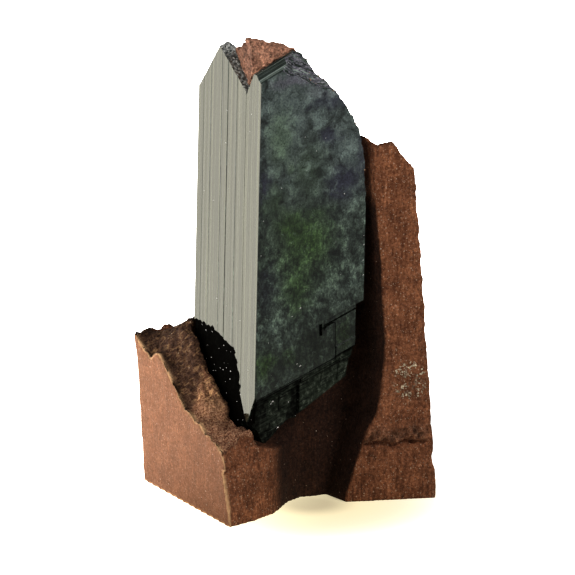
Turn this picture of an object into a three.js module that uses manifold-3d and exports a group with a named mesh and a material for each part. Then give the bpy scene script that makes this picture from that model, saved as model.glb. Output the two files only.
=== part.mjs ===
// A vivianite hand specimen: two dark green crystals, grown side by side, standing in a broken
// block of reddish-brown siltstone, with a plug of the same stone left between their tips.
// Millimetres, +Z up. The crystals' broad faces look along -Y and their striated sides along -X.
import * as THREE from 'three';
import { mergeVertices } from 'three/addons/utils/BufferGeometryUtils.js';
import Module from 'manifold-3d';

const wasm = await Module();
wasm.setup();

// ---- Driving dimensions -------------------------------------------------------------------
const GAP = 0.3;                  // parting between neighbouring pieces
const SKY = 85;                   // a height above everything, for cutters that are open upwards
const REACH = 14;                 // how far a cutter runs past the stone

const CRYSTAL_CORNER = [4.9, 1.2]; // the crystals' front left upright edge, at the base plane
const LEAN_DEG = 1.2;             // the crystals lean this much, to the right and forwards
const LEAN_AXIS = [0.574, 0.819, 0];
const TOP_SLOPE_DEG = 21.5;       // rise of the crystals' natural tops along X

const FRONT_THICK = 3.7;          // front crystal, from its broad face to the seam
const REAR_THICK = 12.5;          // rear crystal, from the seam to its back
const REAR_WIDTH = 18.8;

// The front crystal's outline on its broad face, as x and z, from the top left edge clockwise:
// the natural top, the broken right shoulder, the upright right edge and the stepped foot.
const FRONT_OUTLINE = [
  [0, 68.6], [6.9, 71.4], [8.5, 70.7], [10.5, 67.6], [12.2, 66.3], [14, 64.3], [17.1, 60],
  [18.2, 57.9], [19.1, 53.8], [19.6, 46.5], [19.6, 31.6], [12.3, 29.3], [12.4, 27.8],
  [13.3, 28.6], [14.5, 28.8], [14.5, 23.1], [0, 18.3],
];
// The smaller growth blocks under it: outline on the broad face, and how far each is set back.
const FOOT_BLOCKS = [
  { setBack: 0.45, outline: [[12.2, 31], [18.6, 31.2], [18.6, 24.5], [12.2, 22.3]] },
  { setBack: 0.3, outline: [[0, 20], [18.4, 26], [17.8, 23.1], [0, 17.2]] },
  { setBack: 0.8, outline: [[8.5, 22], [17.6, 24], [17.3, 20], [9.3, 15.6], [8.5, 15.2]] },
  { setBack: 1.2, outline: [[4.9, 20], [8.6, 21], [8.6, 14.6], [7.3, 14.6], [4.9, 13.2]] },
  { setBack: 0.9, outline: [[1, 19], [5, 20], [5, 13.2], [2.9, 11.5], [2.3, 11.5], [1, 14.5]] },
];
const FRONT_RIDGE_Y = 1.2;        // the narrow flat top lies between these two
const FRONT_BACK_Y = 2;
const FRONT_BEVEL_DEG = 41.5;     // the bevel from the ridge down to the broad face
const FRONT_BACK_DEG = 63;        // the slope from the ridge down to the seam
// Three points of the rough bevel where the top right corner has broken away.
const BROKEN_CORNER = [[5, 0, 68.4], [14, 0, 64.3], [8.6, 1.6, 70.7]];

const REAR_RIDGE = [10.9, 71.1];  // y and z of the rear crystal's ridge at its striated side
const REAR_FRONT_DEG = 38.4;      // its gable, down to the seam
const REAR_BACK_DEG = 54;         // and down to its back
// The rear crystal seen along Y, as x and z: the tip is broken behind its first millimetre.
const REAR_OUTLINE = [
  [0, 71.1], [1.4, 71.7], [2.8, 69.9], [9, 67.4], [14.5, 62.2], [REAR_WIDTH, 57], [REAR_WIDTH, 24],
  [8, 13], [0, 11],
];

// The stone plug in the valley between the two tips, seen along Y, as x and z.
const PLUG_OUTLINE = [
  [0.6, 66], [0.4, 70], [0.3, 71.8], [0.9, 73.4], [3.1, 72.9], [4.6, 72.1], [7.1, 71.7],
  [8.8, 70.7], [9.6, 67.5], [8.8, 65],
];
// The same seen along X, as y and z, and its plan, as x and y.
const PLUG_SECTION = [
  [1.6, 60], [9.9, 60], [9.8, 69.9], [8.8, 71], [6.8, 71.8], [5.2, 73.4], [3.6, 73.4],
  [2.5, 72.4], [1.6, 71],
];
const PLUG_PLAN = [
  [0.4, 2.4], [1.4, 1.6], [8, 1.7], [9.7, 3.4], [9.4, 6.2], [7.6, 8.7], [5.2, 9.6], [1.8, 9.8],
  [1.5, 7.6], [1.2, 5],
];

// The stone's outline on the ground, anticlockwise from its near corner, and at BLOCK_TOP.
// The deep bend between the two feet is the hollow under the crystals.
const BLOCK_TOP = 60;
const BLOCK_FOOT = [
  [0, 0], [5.4, 1], [9.9, 2.6], [12.6, 4.6], [15.5, 6.8], [18.5, 7.7], [20.6, 7], [21.7, 4.7],
  [22.2, 1.6], [35, -4.4], [36.6, 8], [34.8, 21], [27.5, 29.6], [15.5, 31.6], [4.3, 28.9],
];
const BLOCK_HEAD = [
  [-3.6, 0.5], [3.6, 1], [9.9, 2.6], [12.6, 4.6], [15.5, 6.8], [18.5, 7.7], [20.6, 7], [21.7, 4.7],
  [22.2, 1.6], [31.4, -2.6], [33.2, 7], [31.6, 19], [26, 26.4], [15, 28.4], [0.7, 29.4],
];
// The broken top of the low block, as y and z: along its left face, and where it meets the
// striated side of the crystals, at MEET_X.
const MEET_X = 4.5;
const LOW_RIGHT = 6.4;            // that broken top runs on to here, under the crystals
const LEFT_EDGE = [
  [-4, 10.8], [2.7, 11.9], [4.6, 12.7], [9.6, 13.8], [14.5, 15.8], [16.7, 17.9], [21.4, 22.2],
  [24, 20.6], [29.2, 22.4], [36, 22.4],
];
const CONTACT_EDGE = [
  [-4, 13.1], [1.2, 13.5], [5.9, 14.2], [8.3, 17.4], [11, 20.3], [13.5, 23], [15, 25.6],
  [17.7, 27.6], [19, 27.4], [23, 24.8], [28, 23.2], [36, 22.4],
];
// The top of the high wall behind and beside the crystals, across the slope and up. It rises
// from the low block to a jagged crest and falls away to the back by WALL_FALL.
const WALL_CREST = [
  [-4.6, 26.5], [2, 37], [9, 46.5], [16, 55], [19.4, 57.6], [21.2, 55.8], [22.4, 54.8],
  [23.5, 56.1], [25, 55.5], [25.4, 54.2], [27, 52.6], [27.9, 51.3], [34, 48.5],
];
const WALL_FALL = 0.36;
const WALL_FRONT = 15;            // depth at which that fall begins
const ACROSS = [0.819, -0.574];   // the level direction along the wall's crest
const DEPTH = [0.574, 0.819];     // and square to it, towards the back
// The bay that holds the crystals, as x and z: its floor and the inner face of the high wall.
const BAY_LEFT = 5.6;
const BAY_OUTLINE = [
  [BAY_LEFT, SKY], [BAY_LEFT, 12.2], [6.5, 11.2], [10, 10], [16, 9.2], [22, 9.2], [25.1, 10.5],
  [26.8, 13.8], [27.7, 21], [27.9, 24.5], [27.5, 32], [27.1, 40], [26.6, 45], [26.2, 52],
  [26.1, SKY],
];
const BAY_STEP = 7.2;             // depth at which the floor rises to hold the rear crystal
const BAY_BACK = 18.3;
const REAR_BAY_OUTLINE = [
  [BAY_LEFT, SKY], [BAY_LEFT, 13.6], [13, 14.2], [24.4, 25.6], [27.7, 27], [27.5, 32],
  [27.1, 40], [26.6, 45], [26.2, 52], [26.1, SKY],
];
// The undercut inner edge of the right foot, as x and z.
const FOOT_UNDERCUT = [[20, -1], [22, -1], [22.2, 0], [25.2, 10.6], [25.2, 12], [20, 12]];
const UNDERCUT_BACK = 7;
// Three points of the chipped upright corner of the low block.
const CHIPPED_CORNER = [[0, 0, 0], [-0.3, 2.6, 11.9], [4.9, 0.9, 13.4]];
const CHIP_SIZE = 16;

const FRACTURE_CELL = 1.1;        // spacing of the points of the fracture surface
const FRACTURE_ROUGHNESS = 0.22;

// ---- Materials ------------------------------------------------------------------------------
const siltstone = { color: 0x7a4f38, roughness: 0.95, metalness: 0 };
const vivianite = { color: 0x26382b, roughness: 0.12, metalness: 0 };

// ---- Helpers --------------------------------------------------------------------------------
function solidOf(geometry) {
  const plain = geometry.clone();
  plain.deleteAttribute('normal');
  plain.deleteAttribute('uv');
  const merged = mergeVertices(plain, 1e-3);
  return new wasm.Manifold(new wasm.Mesh({
    numProp: 3,
    vertProperties: new Float32Array(merged.attributes.position.array),
    triVerts: new Uint32Array(merged.index.array),
  }));
}

function geometryOf(solid) {
  const mesh = solid.getMesh();
  const geometry = new THREE.BufferGeometry();
  geometry.setAttribute('position', new THREE.BufferAttribute(mesh.vertProperties, 3));
  geometry.setIndex(new THREE.BufferAttribute(mesh.triVerts, 1));
  const flat = geometry.toNonIndexed();
  flat.computeVertexNormals();
  return flat;
}

function extruded(outline, depth) {
  const shape = new THREE.Shape(outline.map(([a, b]) => new THREE.Vector2(a, b)));
  return new THREE.ExtrudeGeometry(shape, { depth, bevelEnabled: false });
}

// An outline given as x and z, run along Y.
function alongY(outline, from, to) {
  return solidOf(extruded(outline, to - from).rotateX(Math.PI / 2).translate(0, to, 0));
}

// An outline given as y and z, run along X.
function alongX(outline, from, to) {
  const turn = new THREE.Matrix4().makeBasis(
    new THREE.Vector3(0, 1, 0), new THREE.Vector3(0, 0, 1), new THREE.Vector3(1, 0, 0));
  return solidOf(extruded(outline, to - from).applyMatrix4(turn).translate(from, 0, 0));
}

// A cube that lies wholly on the side of a plane that its normal points to.
function beyond(point, normal, size) {
  const cube = new THREE.BoxGeometry(size, size, size).translate(0, 0, size / 2);
  const turn = new THREE.Quaternion().setFromUnitVectors(
    new THREE.Vector3(0, 0, 1), normal.clone().normalize());
  return solidOf(cube.applyQuaternion(turn).translate(...point));
}

// The normal of the plane through three points, on the side where its given part is positive.
function planeNormal([a, b, c], side) {
  const first = new THREE.Vector3(...b).sub(new THREE.Vector3(...a));
  const second = new THREE.Vector3(...c).sub(new THREE.Vector3(...a));
  const normal = first.cross(second);
  return normal.dot(side) < 0 ? normal.negate() : normal;
}

// The normal of a crystal face that holds the sloping top edge and falls by a given angle.
function faceNormal(sign, fallDeg) {
  const rise = THREE.MathUtils.degToRad(TOP_SLOPE_DEG);
  const fall = THREE.MathUtils.degToRad(fallDeg);
  const edge = new THREE.Vector3(Math.cos(rise), 0, Math.sin(rise));
  const down = new THREE.Vector3(0, sign * Math.cos(fall), -Math.sin(fall));
  const normal = edge.cross(down);
  return normal.z < 0 ? normal.negate() : normal;
}

// Straight-line values between the points of a table.
function along(table, at) {
  const last = table.length - 1;
  if (at <= table[0][0]) {
    return table[0][1];
  }
  for (let i = 0; i < last; i += 1) {
    const [a, low] = table[i];
    const [b, high] = table[i + 1];
    if (at <= b) {
      return low + ((high - low) * (at - a)) / (b - a);
    }
  }
  return table[last][1];
}

// A solid with an uneven floor, given by its height, and a flat lid.
function openAbove(heightAt, from, to, lid) {
  const across = Math.round((to[0] - from[0]) / FRACTURE_CELL);
  const deep = Math.round((to[1] - from[1]) / FRACTURE_CELL);
  const block = new THREE.BoxGeometry(to[0] - from[0], to[1] - from[1], 2, across, deep, 1);
  block.translate((from[0] + to[0]) / 2, (from[1] + to[1]) / 2, 0);
  const position = block.attributes.position;
  for (let i = 0; i < position.count; i += 1) {
    const height = heightAt(position.getX(i), position.getY(i));
    position.setZ(i, position.getZ(i) > 0 ? lid : height);
  }
  return solidOf(block);
}

// A closed body between two outlines with the same number of points.
function loft(foot, head, height) {
  const count = foot.length;
  const points = [...foot.map(([x, y]) => [x, y, 0]), ...head.map(([x, y]) => [x, y, height])];
  const outline = (list) => list.map(([x, y]) => new THREE.Vector2(x, y));
  const index = [];
  for (const [a, b, c] of THREE.ShapeUtils.triangulateShape(outline(foot), [])) {
    index.push(a, c, b);
  }
  for (const [a, b, c] of THREE.ShapeUtils.triangulateShape(outline(head), [])) {
    index.push(a + count, b + count, c + count);
  }
  for (let i = 0; i < count; i += 1) {
    const next = (i + 1) % count;
    index.push(i, next, next + count, i, next + count, i + count);
  }
  const geometry = new THREE.BufferGeometry();
  geometry.setAttribute('position', new THREE.Float32BufferAttribute(points.flat(), 3));
  geometry.setIndex(index);
  return solidOf(geometry);
}

// The same solid with every face moved out by about the gap.
function grown(solid) {
  const geometry = geometryOf(solid);
  geometry.computeBoundingBox();
  const size = geometry.boundingBox.getSize(new THREE.Vector3());
  const centre = geometry.boundingBox.getCenter(new THREE.Vector3());
  geometry.translate(-centre.x, -centre.y, -centre.z);
  geometry.scale(1 + (2 * GAP) / size.x, 1 + (2 * GAP) / size.y, 1 + (2 * GAP) / size.z);
  geometry.translate(centre.x, centre.y, centre.z);
  return solidOf(geometry);
}

// ---- Crystals, in their own upright frame ---------------------------------------------------
function frontCrystal() {
  let crystal = alongY(FRONT_OUTLINE, 0, FRONT_THICK);
  for (const { setBack, outline } of FOOT_BLOCKS) {
    crystal = crystal.add(alongY(outline, setBack, FRONT_THICK));
  }
  const ridge = FRONT_OUTLINE[0][1];
  const bevel = beyond([0, FRONT_RIDGE_Y, ridge], faceNormal(-1, FRONT_BEVEL_DEG), 60);
  const back = beyond([0, FRONT_BACK_Y, ridge], faceNormal(1, FRONT_BACK_DEG), 60);
  const broken = beyond(BROKEN_CORNER[0], planeNormal(BROKEN_CORNER, new THREE.Vector3(0, 0, 1)), 60);
  return crystal.subtract(bevel).subtract(back).subtract(broken);
}

function rearCrystal() {
  const from = FRONT_THICK + GAP;
  const to = FRONT_THICK + REAR_THICK;
  const [ridgeY, ridgeZ] = REAR_RIDGE;
  const crystal = alongY(REAR_OUTLINE, from, to);
  const front = beyond([0, ridgeY, ridgeZ], faceNormal(-1, REAR_FRONT_DEG), 60);
  const back = beyond([0, ridgeY, ridgeZ], faceNormal(1, REAR_BACK_DEG), 60);
  return crystal.subtract(front).subtract(back);
}

function stonePlug(front, rear) {
  const plan = solidOf(extruded(PLUG_PLAN, SKY));
  const lump = alongY(PLUG_OUTLINE, 0, REACH).intersect(alongX(PLUG_SECTION, -1, REACH));
  return lump.intersect(plan).subtract(grown(front)).subtract(grown(rear));
}

// ---- Stone ----------------------------------------------------------------------------------
// Height of the broken top of the stone over a point of the ground. The low block is the part
// left of the crystals.
function fractureHeight(x, y, onLowBlock) {
  const across = x * ACROSS[0] + y * ACROSS[1];
  const depth = x * DEPTH[0] + y * DEPTH[1];
  const uneven = FRACTURE_ROUGHNESS
    * (Math.sin(1.9 * x + 0.7 * y) + Math.sin(2.3 * y - 1.1 * x + 2) + Math.sin(4.1 * y + 3.3 * x));
  const leftX = 0.149 * y;
  const share = THREE.MathUtils.clamp((x - leftX) / (MEET_X - leftX), 0, 1);
  const low = THREE.MathUtils.lerp(along(LEFT_EDGE, y), along(CONTACT_EDGE, y), share);
  if (onLowBlock || across < WALL_CREST[0][0]) {
    return low + uneven;
  }
  const crest = along(WALL_CREST, across) - WALL_FALL * Math.max(0, depth - WALL_FRONT);
  return Math.max(low, crest) + uneven;
}

function stone(front, rear) {
  const overLowBlock = openAbove((x, y) => fractureHeight(x, y, true), [-9, -10],
    [LOW_RIGHT, 36.5], SKY);
  const overWall = openAbove((x, y) => fractureHeight(x, y, false), [LOW_RIGHT - 0.3, -10],
    [42, 36.3], SKY);
  const bay = alongY(BAY_OUTLINE, -REACH, BAY_STEP)
    .add(alongY(REAR_BAY_OUTLINE, BAY_STEP - 1, BAY_BACK));
  const undercut = alongY(FOOT_UNDERCUT, -REACH, UNDERCUT_BACK);
  const chip = beyond(CHIPPED_CORNER[0], planeNormal(CHIPPED_CORNER, new THREE.Vector3(0, -1, 0)),
    CHIP_SIZE);
  return loft(BLOCK_FOOT, BLOCK_HEAD, BLOCK_TOP).subtract(overLowBlock).subtract(overWall)
    .subtract(bay).subtract(undercut).subtract(chip).subtract(front).subtract(rear);
}

// ---- Assembly -------------------------------------------------------------------------------
function piece(name, solid, finish) {
  const mesh = new THREE.Mesh(geometryOf(solid), new THREE.MeshStandardMaterial(finish));
  mesh.name = name;
  return mesh;
}

// The crystals' place in the stone: leaning a little about a level axis through their corner.
const stand = new THREE.Group();
stand.position.set(...CRYSTAL_CORNER, 0);
stand.quaternion.setFromAxisAngle(
  new THREE.Vector3(...LEAN_AXIS).normalize(), THREE.MathUtils.degToRad(LEAN_DEG));
stand.updateMatrix();

function inStone(solid) {
  return solidOf(geometryOf(solid).applyMatrix4(stand.matrix));
}

const front = frontCrystal();
const rear = rearCrystal();
stand.add(piece('front_crystal', front, vivianite));
stand.add(piece('rear_crystal', rear, vivianite));
stand.add(piece('stone_plug', stonePlug(front, rear), siltstone));

const specimen = new THREE.Group();
specimen.add(piece('matrix', stone(inStone(grown(front)), inStone(grown(rear))), siltstone));
specimen.add(stand);

// The origin is under the middle of the specimen, on the ground.
const bounds = new THREE.Box3().setFromObject(specimen);
specimen.position.set(-(bounds.min.x + bounds.max.x) / 2, -(bounds.min.y + bounds.max.y) / 2, 0);

export default specimen;
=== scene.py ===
import math

import bmesh
import bpy
import numpy as np
from bpy.props import FloatProperty, FloatVectorProperty, IntProperty, PointerProperty
from mathutils import Matrix, Vector, noise


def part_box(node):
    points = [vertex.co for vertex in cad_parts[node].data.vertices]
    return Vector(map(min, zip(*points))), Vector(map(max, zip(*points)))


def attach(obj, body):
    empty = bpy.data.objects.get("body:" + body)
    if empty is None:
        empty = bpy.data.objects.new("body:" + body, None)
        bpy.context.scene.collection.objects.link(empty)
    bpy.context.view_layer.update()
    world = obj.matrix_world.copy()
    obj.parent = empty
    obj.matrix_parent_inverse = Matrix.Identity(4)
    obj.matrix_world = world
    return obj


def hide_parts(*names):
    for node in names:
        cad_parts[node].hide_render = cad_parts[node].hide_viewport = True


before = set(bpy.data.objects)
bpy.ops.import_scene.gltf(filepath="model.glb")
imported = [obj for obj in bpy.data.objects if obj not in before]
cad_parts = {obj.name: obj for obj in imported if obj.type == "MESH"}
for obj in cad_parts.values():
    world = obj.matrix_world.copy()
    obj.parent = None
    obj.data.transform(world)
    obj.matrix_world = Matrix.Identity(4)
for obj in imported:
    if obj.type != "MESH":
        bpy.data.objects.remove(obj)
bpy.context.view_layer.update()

bl_info = {
    "name": "Vivianite specimen",
    "version": (1, 0, 0),
    "blender": (4, 5, 0),
    "location": "3D View > Sidebar > Vivianite",
    "description": "Builds a vivianite crystal specimen on its block of siltstone",
    "category": "Add Mesh",
}

MM = 0.001

# ---- Places, in millimetres ------------------------------------------------------------------
# The stone's own coordinates start at the near bottom corner of its low block. These two sides
# of it fix them in the frame.
STONE_RIGHT = 36.6
STONE_FRONT = -4.4
STONE_SHIFT = Vector((
    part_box("matrix")[1].x / MM - STONE_RIGHT,
    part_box("matrix")[0].y / MM - STONE_FRONT,
    0,
))
# The crystals' own coordinates: x across the broad face, y into the crystal, z up it.
CRYSTAL_CORNER = Vector((4.9, 1.2, 0))
LEAN_DEG = 1.2
LEAN_AXIS = Vector((0.574, 0.819, 0))
LEAN = Matrix.Rotation(math.radians(LEAN_DEG), 4, LEAN_AXIS.normalized())
CRYSTAL_PLACE = Matrix.Translation(STONE_SHIFT + CRYSTAL_CORNER) @ LEAN

FRONT_THICK = 3.7
REAR_THICK = 12.5
REAR_WIDTH = 18.8
FRONT_WIDTH = 19.6
SEAM = 0.14
# Both tips slope up to the right along this line.
TOP_SLOPE = math.radians(21.5)
TOP_EDGE = Vector((math.cos(TOP_SLOPE), 0, math.sin(TOP_SLOPE)))
# Widths of the treads between the small steps on the striated sides.
TREADS = [0.12, 0.2, 0.3, 0.5, 0.9, 1.3]

# The front crystal's outline as x and z: top, broken right shoulder, right edge, stepped foot.
FRONT_PEAK = (6.9, 71.4)
FRONT_SHOULDER = [
    (8.5, 70.7), (10.5, 67.6), (12.2, 66.3), (14, 64.3), (17.1, 60), (18.2, 57.9), (19.1, 53.8),
    (19.6, 46.5),
]
FRONT_FOOT = [(12.3, 29.3), (12.4, 27.8), (13.3, 28.6), (14.5, 28.8), (14.5, 23.1)]
# Smaller growth blocks at the foot: how far each is set back, and its outline.
FOOT_BLOCKS = [
    (0.45, [(12.2, 31), (18.6, 31.2), (18.6, 24.5), (12.2, 22.3)]),
    (0.16, [(0, 20), (18.5, 26.1), (18.4, 24.9), (0, 18.0)]),
    (0.3, [(0, 20), (18.4, 26), (17.8, 23.1), (0, 17.2)]),
    (0.62, [(12.6, 22.3), (17.7, 24), (17.5, 21.7), (12.6, 19.6)]),
    (0.8, [(8.5, 22), (17.6, 24), (17.3, 20), (9.3, 15.6), (8.5, 15.2)]),
    (1.2, [(4.9, 20), (8.6, 21), (8.6, 14.6), (7.3, 14.6), (4.9, 13.2)]),
    (1.02, [(5.2, 18.4), (8.3, 19.4), (8.3, 17.6), (5.2, 16.4)]),
    (0.9, [(1, 19), (5, 20), (5, 13.2), (2.9, 11.5), (2.3, 11.5), (1, 14.5)]),
    (0.7, [(2.9, 13.4), (4.7, 13.9), (3.3, 12.4)]),
    (0.75, [(0, 19), (4, 20), (4, 16), (0, 14.6)]),
]
# Narrow open partings between the growth blocks: x and z of their ends, and their width.
FOOT_SLOTS = [
    ((11.6, 28), (20, 30.9), 0.24), ((14.82, 28.6), (14.82, 22.9), 0.2),
    ((0.4, 18.55), (19, 24.8), 0.16), ((0.6, 17.75), (18.4, 23.8), 0.16),
    ((8.55, 20.8), (8.55, 15.6), 0.3), ((4.95, 19.4), (4.95, 13.5), 0.16),
    ((15.6, 23.2), (15.6, 19.6), 0.16), ((11.8, 28.9), (11.9, 27.1), 0.55),
]
SLOT_DEPTH = 1.3
# Paler parts of the foot: x from and to, height above the slant from and to, and how pale.
FOOT_SLANT = 0.34
PATCH_EDGE = 0.06
FOOT_PATCHES = [
    (2.6, 7.4, 13.4, 17.8, 0.5), (8.8, 17.8, 11.8, 17.1, 0.8), (11.8, 15.2, 13.4, 14.5, 1),
    (9, 19.4, 17.3, 18.05, 0.7), (3.6, 6.6, 12.2, 13.3, 0.6),
]
# A bright chip's corners, and the chips on the front crystal: x, y, z and size.
CHIP_CORNERS = ((-0.5, -0.12, -0.2), (0.5, -0.1, 0.05), (0.05, -0.14, 0.45), (0, 0.3, 0))
CHIP_FACES = ((0, 1, 2), (0, 3, 1), (1, 3, 2), (2, 3, 0))
CHIPS = [
    (8, 0, 31.9, 0.4), (6.5, 0, 30.8, 0.25), (8.2, 0, 22.9, 0.42), (7.6, 0, 23.3, 0.25),
    (6.45, 0.9, 19.4, 0.5), (3.8, 0.75, 17.8, 0.5), (3.5, 0.75, 17.5, 0.3),
    (4.9, 0.85, 13.6, 0.45), (19.4, 0, 35.5, 0.3), (19.4, 0, 40.2, 0.3), (19.35, 0, 37.8, 0.22),
    (19.4, 0, 41.6, 0.2),
    (2.3, 0, 27.3, 0.2), (0.6, 0, 41, 0.22), (0.9, 0, 46.3, 0.2),
]
# Below this line, given as y and z, the striated sides are cut back a little and finished
# near-black: a painted dark reflection of the stone beside them.
SIDE_EDGE_FRONT = [
    (-1, 19.2), (0, 19), (0.5, 17.9), (1.2, 16.3), (1.9, 14.9), (2.1, 14.9), (2.8, 16.3),
    (3.75, 18.6),
]
SIDE_EDGE_REAR = [
    (3.75, 18.6), (4.2, 22.1), (5.5, 25.3), (8.8, 26.6), (11, 27.5), (14.9, 27.7), (18, 27.9),
]
# How deep that is, and the z which all of it stays below.
DARK_SIDE_DEPTH = 0.28
PAINTED_DARK_TOP = 28
# The front crystal's foot, near-black as painted shade, ends at z of FOOT_TOP + FOOT_RISE * x,
# and its curved broken shoulder ends at SHOULDER_END.
FOOT_TOP = 19.1
FOOT_RISE = 0.331
SHOULDER_END = 46
# The plane of the broken top corner, by three points, and how it falls across the front face.
BROKEN_CORNER = [(5, 0, 68.4), (14, 0, 64.3), (8.6, 1.6, 70.7)]
BROKEN_FALL = 0.455
# Each crystal's tip falls away forwards and backwards from a ridge: its y and z at x of 0, and
# how steep it is on both sides. The front crystal's back starts at its own y.
FRONT_RIDGE = (1.2, 68.6)
FRONT_BACK_Y = 2
FRONT_BEVEL_DEG = 41.5
FRONT_BACK_DEG = 63
REAR_RIDGE = (10.9, 71.1)
REAR_FRONT_DEG = 38.4
REAR_BACK_DEG = 54
# Down the front bevel: distance and how far each narrow terrace stands back from the plane.
BEVEL_TERRACES = [
    (-0.1, 0.02), (0.22, 0.02), (0.26, 0.1), (0.62, 0.05), (0.68, 0.16), (0.98, 0.1), (1.04, 0.05),
    (1.8, 0.03),
]
# Deeper lines on the rear crystal's side: how far from the front, how wide and how deep.
GROOVES = [(8.55, 0.16, 0.14), (10.1, 0.12, 0.06), (6.2, 0.1, 0.05), (12.9, 0.1, 0.05)]
# The rear crystal's outline as x and z: top, broken right side and foot.
REAR_PEAK = (1.4, 71.7)
REAR_BREAK = [(2.8, 69.9), (9, 67.4), (14.5, 62.2), (REAR_WIDTH, 57)]
REAR_FOOT = (8, 13)

# Soft patches of the broad face: what they are, their middle as x and z, half their width and
# height, and how strong they are.
FACE_PATCHES = [
    ("veil", 6, 65, 9, 4.5, 0.5), ("veil", 4.6, 60, 3.4, 6.5, 0.75),
    ("pale", 3.8, 58.6, 2.8, 5.6, 0.7), ("veil", 16.2, 56, 2.6, 4, 0.8),
    ("dark", 0.6, 48, 1.7, 21, 0.7), ("moss", 9, 53, 4, 6, 0.4),
    ("violet", 12.8, 57.6, 2.2, 2, 0.7), ("violet", 1.2, 51.2, 1.4, 3.2, 0.7),
    ("pale", 5.5, 53.6, 1, 0.9, 0.6), ("violet", 18.6, 54, 1.6, 3.6, 0.5),
    ("violet", 15.6, 50.2, 3.6, 3.4, 0.8), ("dark", 12, 46.6, 5, 1.6, 0.7),
    ("moss", 2.8, 49, 2.6, 4, 0.5), ("moss", 8, 40, 8, 9, 0.55), ("moss", 5.6, 45, 3.6, 3, 0.7),
    ("green", 9.4, 42.4, 5, 4.8, 0.55), ("green", 7.4, 34.6, 3, 4.6, 0.45),
    ("green", 6.2, 24.4, 1.6, 1.8, 0.6), ("green", 1.9, 23.8, 2.4, 2.6, 0.9),
    ("veil", 15, 33.4, 4.4, 3, 0.2), ("veil", 4.6, 22.4, 2.2, 1.4, 0.7),
    ("dark", 11, 27, 4.6, 4.2, 0.8), ("violet", 2, 36, 2.4, 4, 0.4),
    ("moss", 16.4, 26.6, 1.8, 3.2, 0.8), ("violet", 13, 63.2, 5, 1.5, 0.6),
    ("ash", 5.5, 67.2, 4.5, 1.2, 0.7), ("ash", 11.6, 65.3, 4, 1.3, 0.75),
    ("veil", 12.4, 65.2, 5.5, 1.0, 0.7),
]

# The rest is in the stone's coordinates. Its smooth left face stands where x is
# LEFT_TURN * y - LEFT_LEAN * z, and the broken slope beside it ends at SLOPE_END.
LEFT_TURN = 0.149
LEFT_LEAN = 0.06
SLOPE_END = 6.4
# The high wall's front face stands at y of WALL_FRONT and turns back beyond x of WALL_BEND.
WALL_FRONT = 1.6
WALL_BEND = 22.2
WALL_TURN = 0.469
# The recess beside the crystals and the hollow under them end at this x and z.
RECESS_END = (28.7, 48)
# The long open crack across the front of the high wall, as x and z, and half its width.
WALL_CRACK = [(22.5, 9.3), (24.6, 8.7), (26.6, 9.1), (29, 8.5), (31, 9.2), (33, 8.9), (36, 9.3)]
CRACK_WIDE = 0.32
WALL_CRUST = (31.3, -2.4, 18.6)
# The low block's far left corner: its middle, its reach and how far it is drawn out.
CORNER = ((4, 28.9, 22.4), (2, 2.5, 2))
CORNER_RISE = (-0.4, 0.2, 0.9)
# The notch in the wall's right edge, and its depth.
NOTCH = ((36, -2, 6.3), (1.6, 5, 0.8))
NOTCH_DEEP = 2
# A painted highlight on a lump low on the broken slope: distance along ACROSS and height, and its
# reach.
ACROSS = (0.819, -0.574)
LUMP_HIGHLIGHT = ((-2, 16.6), (1.7, 2.6))
# The small knob on the plug's upper left side, its reach and how far it stands out.
KNOB = ((5.3, 4.6, 73), 1.2)
KNOB_RISE = (-0.819, 0.574, 0.1)
# The finishes of a crystal, by material slot. DARK is near-black: painted shade on the foot and a
# painted dark reflection low on the striated sides.
FACE, STRIATED, BROKEN, DARK = range(4)

# The camera looks at this place in the stone's coordinates.
CAMERA_AIM = (15.67, 7.33, 33.2)
# The lights, in metres: where they look, how wide they are and where they stand.
LIGHT_AIM = Vector((0, 0, 0.03))
KEY_WIDTH = 0.34
KEY_PLACE = (-0.32, 0.08, 0.1)
FILL_WIDTH = 0.14
FILL_ANGLES = (math.radians(20), math.radians(42))
FILL_AWAY = 0.4
# The world is brightest behind the specimen, on its left.
WORLD_GLOW = {"From Min": -0.55, "From Max": 0.75, "To Min": 0.05, "To Max": 0.45}


# ---- Settings --------------------------------------------------------------------------------
def colour(name, text, value):
    return FloatVectorProperty(
        name=name, description=text, default=value, subtype="COLOR", size=3, min=0, max=1)


def number(name, text, value, least=0, **more):
    return FloatProperty(name=name, description=text, default=value, min=least, **more)


def length(name, text, value):
    return number(name, text, value * MM, subtype="DISTANCE", unit="LENGTH", precision=5)


def angle(name, text, value):
    return FloatProperty(
        name=name, description=text, default=math.radians(value), subtype="ANGLE")


class StoneSettings(bpy.types.PropertyGroup):
    voxel: length("Mesh size", "Size of the stone's mesh cells", 0.3)
    plug_voxel: length("Plug mesh size", "Size of the plug's mesh cells", 0.12)
    slope_relief: length("Slope relief", "Height of the lumps on the broken slope", 0.46)
    wall_relief: length("Wall relief", "Height of the lumps on the high wall", 0.3)
    face_relief: length("Face relief", "Height of the waves on the smooth left face", 0.07)
    light: colour("Light stone", "Colour of the stone's light patches", (0.272, 0.117, 0.057))
    dark: colour("Dark stone", "Colour of the stone's dark patches", (0.16, 0.062, 0.028))
    grain: colour("Grains", "Colour of the scattered light grains", (0.62, 0.45, 0.32))
    plug: colour("Plug", "Colour of the small plug's light patches", (0.62, 0.33, 0.22))


class CrystalSettings(bpy.types.PropertyGroup):
    striation: length("Striation depth", "Height of the steps on the striated sides", 0.02)
    dark: colour("Dark green", "Colour of the dark parts of the crystals", (0.011, 0.016, 0.013))
    green: colour("Bright green", "Colour of the bright green parts", (0.045, 0.09, 0.022))
    veil: colour("Veils", "Colour of the grey-green veils", (0.1, 0.132, 0.112))
    side: colour("Striated sides", "Colour of the striated sides", (0.014, 0.014, 0.009))
    ior: number("Index of refraction", "Index of refraction of the crystals", 1.62, 1, max=3)


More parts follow.
